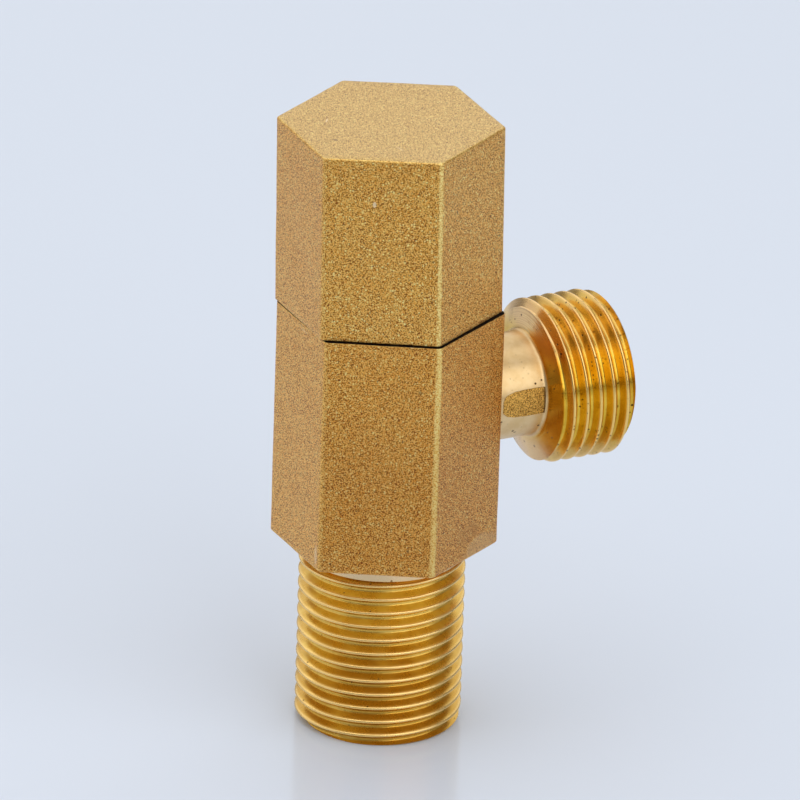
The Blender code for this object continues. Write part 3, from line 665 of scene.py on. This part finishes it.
def outlet_pits(s, on_neck):
    """A mask of scattered pits, clusters of specks that the neck has fewer of, and a few large pits."""
    pit = pits(s, 0.9 * MM, 0.5, 0.16 * MM)
    specks = s.math("MULTIPLY", pits(s, 0.42 * MM, 0.6, 0.12 * MM), s.ramp(s.noise(3.0 * MM), 0.45, 0.6))
    pit = s.math("MAXIMUM", pit, s.math("MULTIPLY", specks, s.ramp(on_neck, 0.0, 1.0, 0.9, 0.2)))
    for centre, radii in NECK_PITS:
        pit = s.math("MAXIMUM", pit, s.blob(centre, radii, ragged=0.5))
    return pit


def parting_line(s, angle):
    """A mask of the broken line that the mould's halves leave along the outlet."""
    side = s.math("ABSOLUTE", s.math("SINE", s.math("SUBTRACT", angle, math.radians(PARTING_ANGLE))))
    broken = s.noise(0.7 * MM, detail=2.0)
    return s.math("MULTIPLY", s.ramp(side, 0.004, 0.012, 1.0, 0.0), s.ramp(broken, 0.30, 0.6, 0.25, 0.8))


def missed_patch(s, x, radius, angle):
    """A mask of the rounded patch on the neck that the tool missed."""
    along = s.math("DIVIDE", s.math("SUBTRACT", x, PATCH_X), PATCH_HALF_LENGTH)
    across = s.math("SUBTRACT", angle, math.radians(PATCH_ANGLE))
    across = s.math("DIVIDE", across, math.radians(PATCH_HALF_ANGLE))
    reach = s.math("ADD", s.math("POWER", s.math("ABSOLUTE", along), PATCH_POWER),
                   s.math("POWER", s.math("ABSOLUTE", across), PATCH_POWER))
    ragged = s.math("MULTIPLY", s.math("SUBTRACT", s.noise(0.45 * MM, detail=2.0), 0.5), 0.3)
    patch = s.ramp(s.math("ADD", reach, ragged), 0.96, 1.04, 1.0, 0.0)
    end = s.math("ADD", x, s.math("MULTIPLY", ragged, 0.4 * MM))
    end = s.ramp(end, PATCH_END, PATCH_END + 0.08 * MM, 1.0, 0.0)
    return s.math("MULTIPLY", patch, s.math("MULTIPLY", end, s.ramp(radius, 7.4 * MM, 7.5 * MM, 1.0, 0.0)))


def outlet_brass():
    """The outlet: a satin neck with a patch of cast skin left on it, a tool-marked shoulder, then thread."""
    s = Shader("outlet_brass")
    x, y, z = (s.axis(a) for a in "XYZ")
    rise = s.math("SUBTRACT", z, OUTLET_Z)
    radius = s.math("SQRT", s.math("ADD", s.math("MULTIPLY", y, y), s.math("MULTIPLY", rise, rise)))
    angle = s.math("ARCTAN2", rise, s.math("MULTIPLY", y, -1.0))
    stain = s.noise(2.0 * MM, detail=4.0, roughness=0.6)
    on_neck = s.ramp(radius, NECK + 0.05 * MM, NECK + 0.4 * MM, 1.0, 0.0)
    on_neck = s.math("MULTIPLY", on_neck, s.ramp(x, SHOULDER_X + 0.1 * MM, SHOULDER_X + 0.2 * MM, 1.0, 0.0))

    amber = outlet_amber(s, stain, x, rise, radius)
    satin = s.mix(s.ramp(stain, 0.35, 0.7), (0.74, 0.51, 0.24), (0.82, 0.60, 0.32))
    colour = s.mix(on_neck, amber, satin)
    pit = outlet_pits(s, on_neck)
    colour = s.mix(s.math("MULTIPLY", pit, 0.9), colour, (0.035, 0.012, 0.004))
    colour = s.mix(s.math("MULTIPLY", parting_line(s, angle), 0.25), colour, (0.28, 0.13, 0.03))
    patch = missed_patch(s, x, radius, angle)
    peel = s.noise(0.14 * MM, detail=1.0, distortion=0.8)
    peel_colour = s.mix(s.ramp(peel, 0.32, 0.64), (0.24, 0.085, 0.008), (0.98, 0.60, 0.14))
    # painted shadow: the patch's end, where it lies below the fillet, painted dark
    patch_end_shadow = s.math("MULTIPLY", patch, s.ramp(x, PATCH_END - 0.22 * MM, PATCH_END - 0.02 * MM))
    peel_colour = s.mix(s.math("MULTIPLY", patch_end_shadow, 0.8), peel_colour, (0.03, 0.012, 0.004))
    colour = s.mix(patch, colour, peel_colour)

    lines = s.mix(on_neck, tool_lines(s, radius, 0.20 * MM), tool_lines(s, x, 0.05 * MM))
    depth = s.ramp(x, SHOULDER_END, SHOULDER_END + 0.5 * MM, 0.020 * MM, 0.003 * MM)
    bump = s.bump(lines, s.math("MULTIPLY", depth, s.ramp(on_neck, 0.0, 1.0, 1.0, 0.1)))
    bump = s.bump(pit, -0.04 * MM, bump)
    bump = s.bump(s.math("MULTIPLY", patch, s.math("SUBTRACT", peel, 1.6)), 0.07 * MM, bump)
    rough = s.ramp(on_neck, 0.0, 1.0, 0.20, 0.35)
    rough = s.math("ADD", rough, s.math("MULTIPLY", patch, 0.2))
    metal = s.ramp(patch, 0.0, 1.0, 1.0, 0.85)
    return s.finish(Base_Color=colour, Metallic=metal, Roughness=rough, Normal=bump)


def steel():
    s = Shader("steel")
    stain = s.noise(0.8 * MM, detail=4.0)
    colour = s.mix(s.ramp(stain, 0.3, 0.7), (0.34, 0.34, 0.35), (0.58, 0.58, 0.59))
    bump = s.bump(s.noise(0.05 * MM, stretch=(1, 1, 6)), 0.002 * MM)
    rough = s.ramp(stain, 0.3, 0.7, 0.25, 0.4)
    return s.finish(Base_Color=colour, Metallic=1.0, Roughness=rough, Normal=bump)


def rubber():
    s = Shader("rubber")
    dust = s.ramp(s.noise(0.4 * MM, detail=4.0), 0.5, 0.75)
    colour = s.mix(dust, (0.012, 0.012, 0.013), (0.045, 0.043, 0.040))
    bump = s.bump(s.noise(0.08 * MM, detail=2.0), 0.006 * MM)
    return s.finish(Base_Color=colour, Roughness=s.ramp(dust, 0.0, 1.0, 0.45, 0.75), Normal=bump)


def ceramic():
    s = Shader("ceramic")
    tone = s.noise(0.6 * MM, detail=3.0)
    colour = s.mix(s.ramp(tone, 0.3, 0.7), (0.74, 0.71, 0.64), (0.86, 0.84, 0.79))
    bump = s.bump(s.noise(0.10 * MM, detail=2.0), 0.002 * MM)
    return s.finish(Base_Color=colour, Roughness=s.ramp(tone, 0.3, 0.7, 0.16, 0.30), Normal=bump)


def plastic():
    s = Shader("plastic")
    tone = s.noise(1.2 * MM, detail=3.0)
    colour = s.mix(s.ramp(tone, 0.3, 0.7), (0.62, 0.62, 0.59), (0.72, 0.72, 0.70))
    bump = s.bump(s.noise(0.07 * MM, detail=3.0), 0.004 * MM)
    return s.finish(Base_Color=colour, Roughness=s.ramp(tone, 0.3, 0.7, 0.40, 0.55), Normal=bump)


# ---------------------------------------------------------------- pieces

def outlet_rod(look):
    envelope = [
        (0, SHOULDER_X),
        (SHOULDER_RADIUS, SHOULDER_X),
        (CREST - 0.3 * MM, SHOULDER_END),
        (CREST + MM, SHOULDER_END + 0.8 * MM),
        (CREST + MM, OUTLET_END - OUTLET_CHAMFER - MM),
        (CREST - OUTLET_CHAMFER, OUTLET_END),
        (0, OUTLET_END),
    ]
    rod = thread_rod("outlet_rod", OUTLET_PHASE, SHOULDER_X - MM, OUTLET_END + MM, **look)
    rod.transform(Matrix.Rotation(math.radians(90), 4, "Z"))
    limit = turned("outlet_envelope", envelope, THREAD_SEGMENTS, **look)
    return place(combined("outlet_rod", rod, [("INTERSECT", limit)]), 0, OUTLET_Z)


def inlet_rod(look):
    envelope = [
        (0, 0),
        (CREST - INLET_CHAMFER, 0),
        (CREST + MM, INLET_CHAMFER + MM),
        (CREST + MM, THREAD_TOP),
        (SHANK, THREAD_TOP + 0.03 * MM),
        (SHANK, HEX_BOTTOM + MM),
        (0, HEX_BOTTOM + MM),
    ]
    shank = [
        (0, THREAD_TOP - 0.1 * MM),
        (ROOT, THREAD_TOP - 0.1 * MM),
        (SHANK, THREAD_TOP + 0.1 * MM),
        (SHANK, HEX_BOTTOM + MM),
        (0, HEX_BOTTOM + MM),
    ]
    rod = thread_rod("inlet_rod", INLET_PHASE, -MM, HEX_BOTTOM + 2 * MM, **look)
    limit = turned("inlet_envelope", envelope, THREAD_SEGMENTS, **look)
    neck = turned("inlet_shank", shank, 120, **look)
    return combined("inlet_rod", rod, [("INTERSECT", limit), ("UNION", neck)])


def neck_shape(look):
    profile = [(0, ACROSS_FLATS / 2 - MM), (NECK, ACROSS_FLATS / 2 - MM)]
    for k in range(6):
        a = math.pi / 2 * k / 5
        profile.append((
            NECK + (SHOULDER_RADIUS + 0.1 * MM - NECK) * (1 - math.cos(a)),
            SHOULDER_X - NECK_FILLET + (NECK_FILLET + 0.1 * MM) * math.sin(a),
        ))
    profile.append((0, SHOULDER_X + MM))
    return place(turned("neck", profile, THREAD_SEGMENTS, step=0.25 * MM, **look), 0, OUTLET_Z)


def valve_body(materials):
    cast = {"materials": materials, "index": CAST}
    bored = {"materials": materials, "index": BORED}
    block = cast_block(
        "body_block", HEX_BOTTOM, SEAM_Z - SEAM_GAP / 2, BOTTOM_ROUND, SEAM_ROUND,
        seed=3.7, corner_round=BODY_CORNER, corners=BODY_CORNERS, **cast,
    )
    waterway = [
        (0, -MM),
        (INLET_BORE + BORE_CHAMFER + MM, -MM),
        (INLET_BORE, BORE_CHAMFER),
        (INLET_BORE, INLET_BORE_TOP),
        (SEAT_HOLE, INLET_BORE_TOP),
        (SEAT_HOLE, SEAT_Z),
        (CHAMBER, SEAT_Z),
        (CHAMBER, CHAMBER_TOP),
        (HOUSING_HOLE, CHAMBER_TOP),
        (HOUSING_HOLE, COUNTERBORE_Z),
        (COUNTERBORE, COUNTERBORE_Z),
        (COUNTERBORE, SEAM_Z + MM),
        (0, SEAM_Z + MM),
    ]
    side_port = [
        (0, CHAMBER - 2 * MM),
        (OUTLET_BORE, CHAMBER - 2 * MM),
        (OUTLET_BORE, OUTLET_END - OUTLET_MOUTH_DEPTH),
        (OUTLET_MOUTH, OUTLET_END - OUTLET_MOUTH_DEPTH + (OUTLET_MOUTH - OUTLET_BORE)),
        (OUTLET_MOUTH, OUTLET_END - BORE_CHAMFER),
        (OUTLET_MOUTH + BORE_CHAMFER + MM, OUTLET_END + MM),
        (0, OUTLET_END + MM),
    ]
    port = place(turned("side_port", side_port, 96, **bored), 0, OUTLET_Z)
    mesh = combined("valve_body_casting", block, [
        ("UNION", inlet_rod({"materials": materials, "index": INLET_TURNED})),
        ("UNION", outlet_rod({"materials": materials, "index": OUTLET_TURNED})),
        ("UNION", neck_shape({"materials": materials, "index": OUTLET_TURNED})),
        ("DIFFERENCE", turned("waterway", waterway, 96, **bored)),
        ("DIFFERENCE", port),
    ])
    piece = add_object("valve_body_casting", mesh)
    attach(piece, "body")
    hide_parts("valve_body")
    return piece


def spline_loop():
    """The outline of the splines in the handle's boss."""
    count = 12 * SPLINE_TEETH
    points = []
    for i in range(count):
        a = 2 * math.pi * i / count
        radius = SPLINE_RADIUS + SPLINE_WAVE * math.cos(SPLINE_TEETH * a)
        points.append((radius * math.cos(a), radius * math.sin(a)))
    return points


def lean_over(block, low):
    """Sets the handle's block crooked on the body, with its lower face kept level at the seam."""
    block.transform(Matrix.Rotation(math.radians(HANDLE_TWIST), 4, "Z"))
    lean = [math.tan(math.radians(a)) for a in HANDLE_LEAN]
    for v in block.vertices:
        rise = v.co.z - low
        share = rise / (HANDLE_TOP - low)
        x, y = v.co.xy
        v.co += Vector((HANDLE_OFFSET[0] + lean[0] * rise, HANDLE_OFFSET[1] + lean[1] * rise, 0))
        v.co.z += share * (HANDLE_RISE[0] + HANDLE_RISE[1] * y - lean[0] * x - lean[1] * y)


def handle(materials):
    cast = {"materials": materials, "index": CAST}
    bored = {"materials": materials, "index": BORED}
    low = SEAM_Z + SEAM_GAP / 2
    block = cast_block(
        "handle_block", low, HANDLE_TOP, SEAM_ROUND, TOP_ROUND,
        seed=11.2, corner_round=HANDLE_CORNER, corners=HANDLE_CORNERS, **cast,
    )
    lean_over(block, low)
    cavity = [
        (0, low - MM),
        (CAVITY, low - MM),
        (CAVITY, CAVITY_ROOF - CAVITY_CHAMFER),
        (CAVITY - CAVITY_CHAMFER, CAVITY_ROOF),
        (BOSS + BOSS_FILLET, CAVITY_ROOF),
        (BOSS, CAVITY_ROOF - BOSS_FILLET),
        (BOSS, BOSS_BOTTOM + BOSS_CHAMFER),
        (BOSS - BOSS_CHAMFER, BOSS_BOTTOM),
        (0, BOSS_BOTTOM),
    ]
    pad = extruded("screw_pad", circle(SCREW_PAD, 48), BOSS - MM, CAVITY + MM, **cast)
    place(pad, SCREW_ANGLE, SCREW_Z)
    hole = extruded("screw_hole", circle(SCREW_HOLE, 48), SPLINE_RADIUS - MM, ACROSS_FLATS / 2 + MM, **bored)
    place(hole, SCREW_ANGLE, SCREW_Z)
    mesh = combined("handle_casting", block, [
        ("DIFFERENCE", turned("cavity", cavity, 96, **cast)),
        ("UNION", pad),
        ("DIFFERENCE", extruded("spline_hole", spline_loop(), BOSS_BOTTOM - MM, SPLINE_TOP, **bored)),
        ("DIFFERENCE", hole),
    ])
    piece = add_object("handle_casting", mesh)
    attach(piece, "handle_and_stem")
    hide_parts("handle")
    return piece


# ---------------------------------------------------------------- studio

def camera():
    a, e, roll = (math.radians(x) for x in (CAMERA_AZIMUTH, CAMERA_ELEVATION, CAMERA_ROLL))
    back = Vector((math.sin(a) * math.cos(e), -math.cos(a) * math.cos(e), math.sin(e)))
    right = Vector((math.cos(a), math.sin(a), 0))
    up = back.cross(right)
    target = right * CAMERA_TARGET[0] + Vector((0, 0, CAMERA_TARGET[1]))
    x_axis = math.cos(roll) * right + math.sin(roll) * up
    y_axis = back.cross(x_axis)
    data = bpy.data.cameras.new("camera")
    data.sensor_width = 36
    data.lens = CAMERA_LENS
    data.clip_end = 20
    obj = bpy.data.objects.new("camera", data)
    bpy.context.scene.collection.objects.link(obj)
    obj.matrix_world = Matrix.Translation(target + back * CAMERA_DISTANCE) @ Matrix(
        (x_axis, y_axis, back)).transposed().to_4x4()
    bpy.context.scene.camera = obj


def softbox(name, azimuth, elevation, distance, size, radiance, colour=(1, 1, 1)):
    """A rectangular area light that faces the valve. The azimuth counts from the camera's, to its right."""
    a, e = math.radians(CAMERA_AZIMUTH + azimuth), math.radians(elevation)
    away = Vector((math.sin(a) * math.cos(e), -math.cos(a) * math.cos(e), math.sin(e)))
    data = bpy.data.lights.new(name, "AREA")
    data.shape = "RECTANGLE"
    data.size, data.size_y = size
    data.energy = radiance * math.pi * size[0] * size[1]
    data.color = colour
    obj = bpy.data.objects.new(name, data)
    bpy.context.scene.collection.objects.link(obj)
    obj.location = Vector((0, 0, 0.045)) + away * distance
    obj.rotation_euler = away.to_track_quat("Z", "Y").to_euler()


def studio():
    bpy.context.scene.view_settings.view_transform = "Standard"
    world = bpy.data.worlds.new("studio")
    world.use_nodes = True
    background = world.node_tree.nodes["Background"]
    background.inputs["Color"].default_value = (1.0, 0.97, 0.94, 1.0)
    background.inputs["Strength"].default_value = 0.26
    bpy.context.scene.world = world
    softbox("right", 49, 30, 0.9, (1.15, 0.85), 1.15)
    softbox("left", -95, 28, 0.9, (1.35, 0.85), 0.60)
    softbox("front", -14, 56, 0.9, (1.1, 0.5), 0.90)
    softbox("back", 180, 30, 1.1, (1.9, 0.9), 0.75, (0.98, 1.0, 1.02))
    softbox("overhead", 180, 84, 1.0, (1.1, 0.9), 0.95)
    floor = add_object("floor", extruded("floor", [(-3, -3), (3, -3), (3, 3), (-3, 3)], -0.01, -0.00002))
    s = Shader("floor")
    floor.data.materials.append(s.finish(Base_Color=(0.722, 0.797, 0.925), Roughness=0.14))


def main():
    white = (1.0, 1.0, 1.0)
    skin = cast_brass("handle_skin", white, white, (SEAM_Z, HANDLE_TOP), HANDLE_MARKS)
    cast = cast_brass("body_skin", *BODY_TONES, BODY_TONE_HEIGHTS, BODY_MARKS)
    inlet = turned_brass("inlet_brass", threaded=True, rough=0.28)
    brass = [cast, inlet, outlet_brass(), turned_brass("bored_brass"), painted_seam_shade()]
    looks = {
        "turned_brass": turned_brass("bright_brass"),
        "steel": steel(),
        "rubber": rubber(),
        "ceramic": ceramic(),
        "plastic": plastic(),
        "cast_brass": cast,
        "handle_brass": skin,
    }
    valve_body(brass)
    handle([skin] + brass[1:])
    for part in frame["record"]["subparts"]:
        mesh = frame["nodes"][part["node"]].data
        mesh.materials.clear()
        mesh.materials.append(looks[part["material_slot"]])
    camera()
    studio()


main()
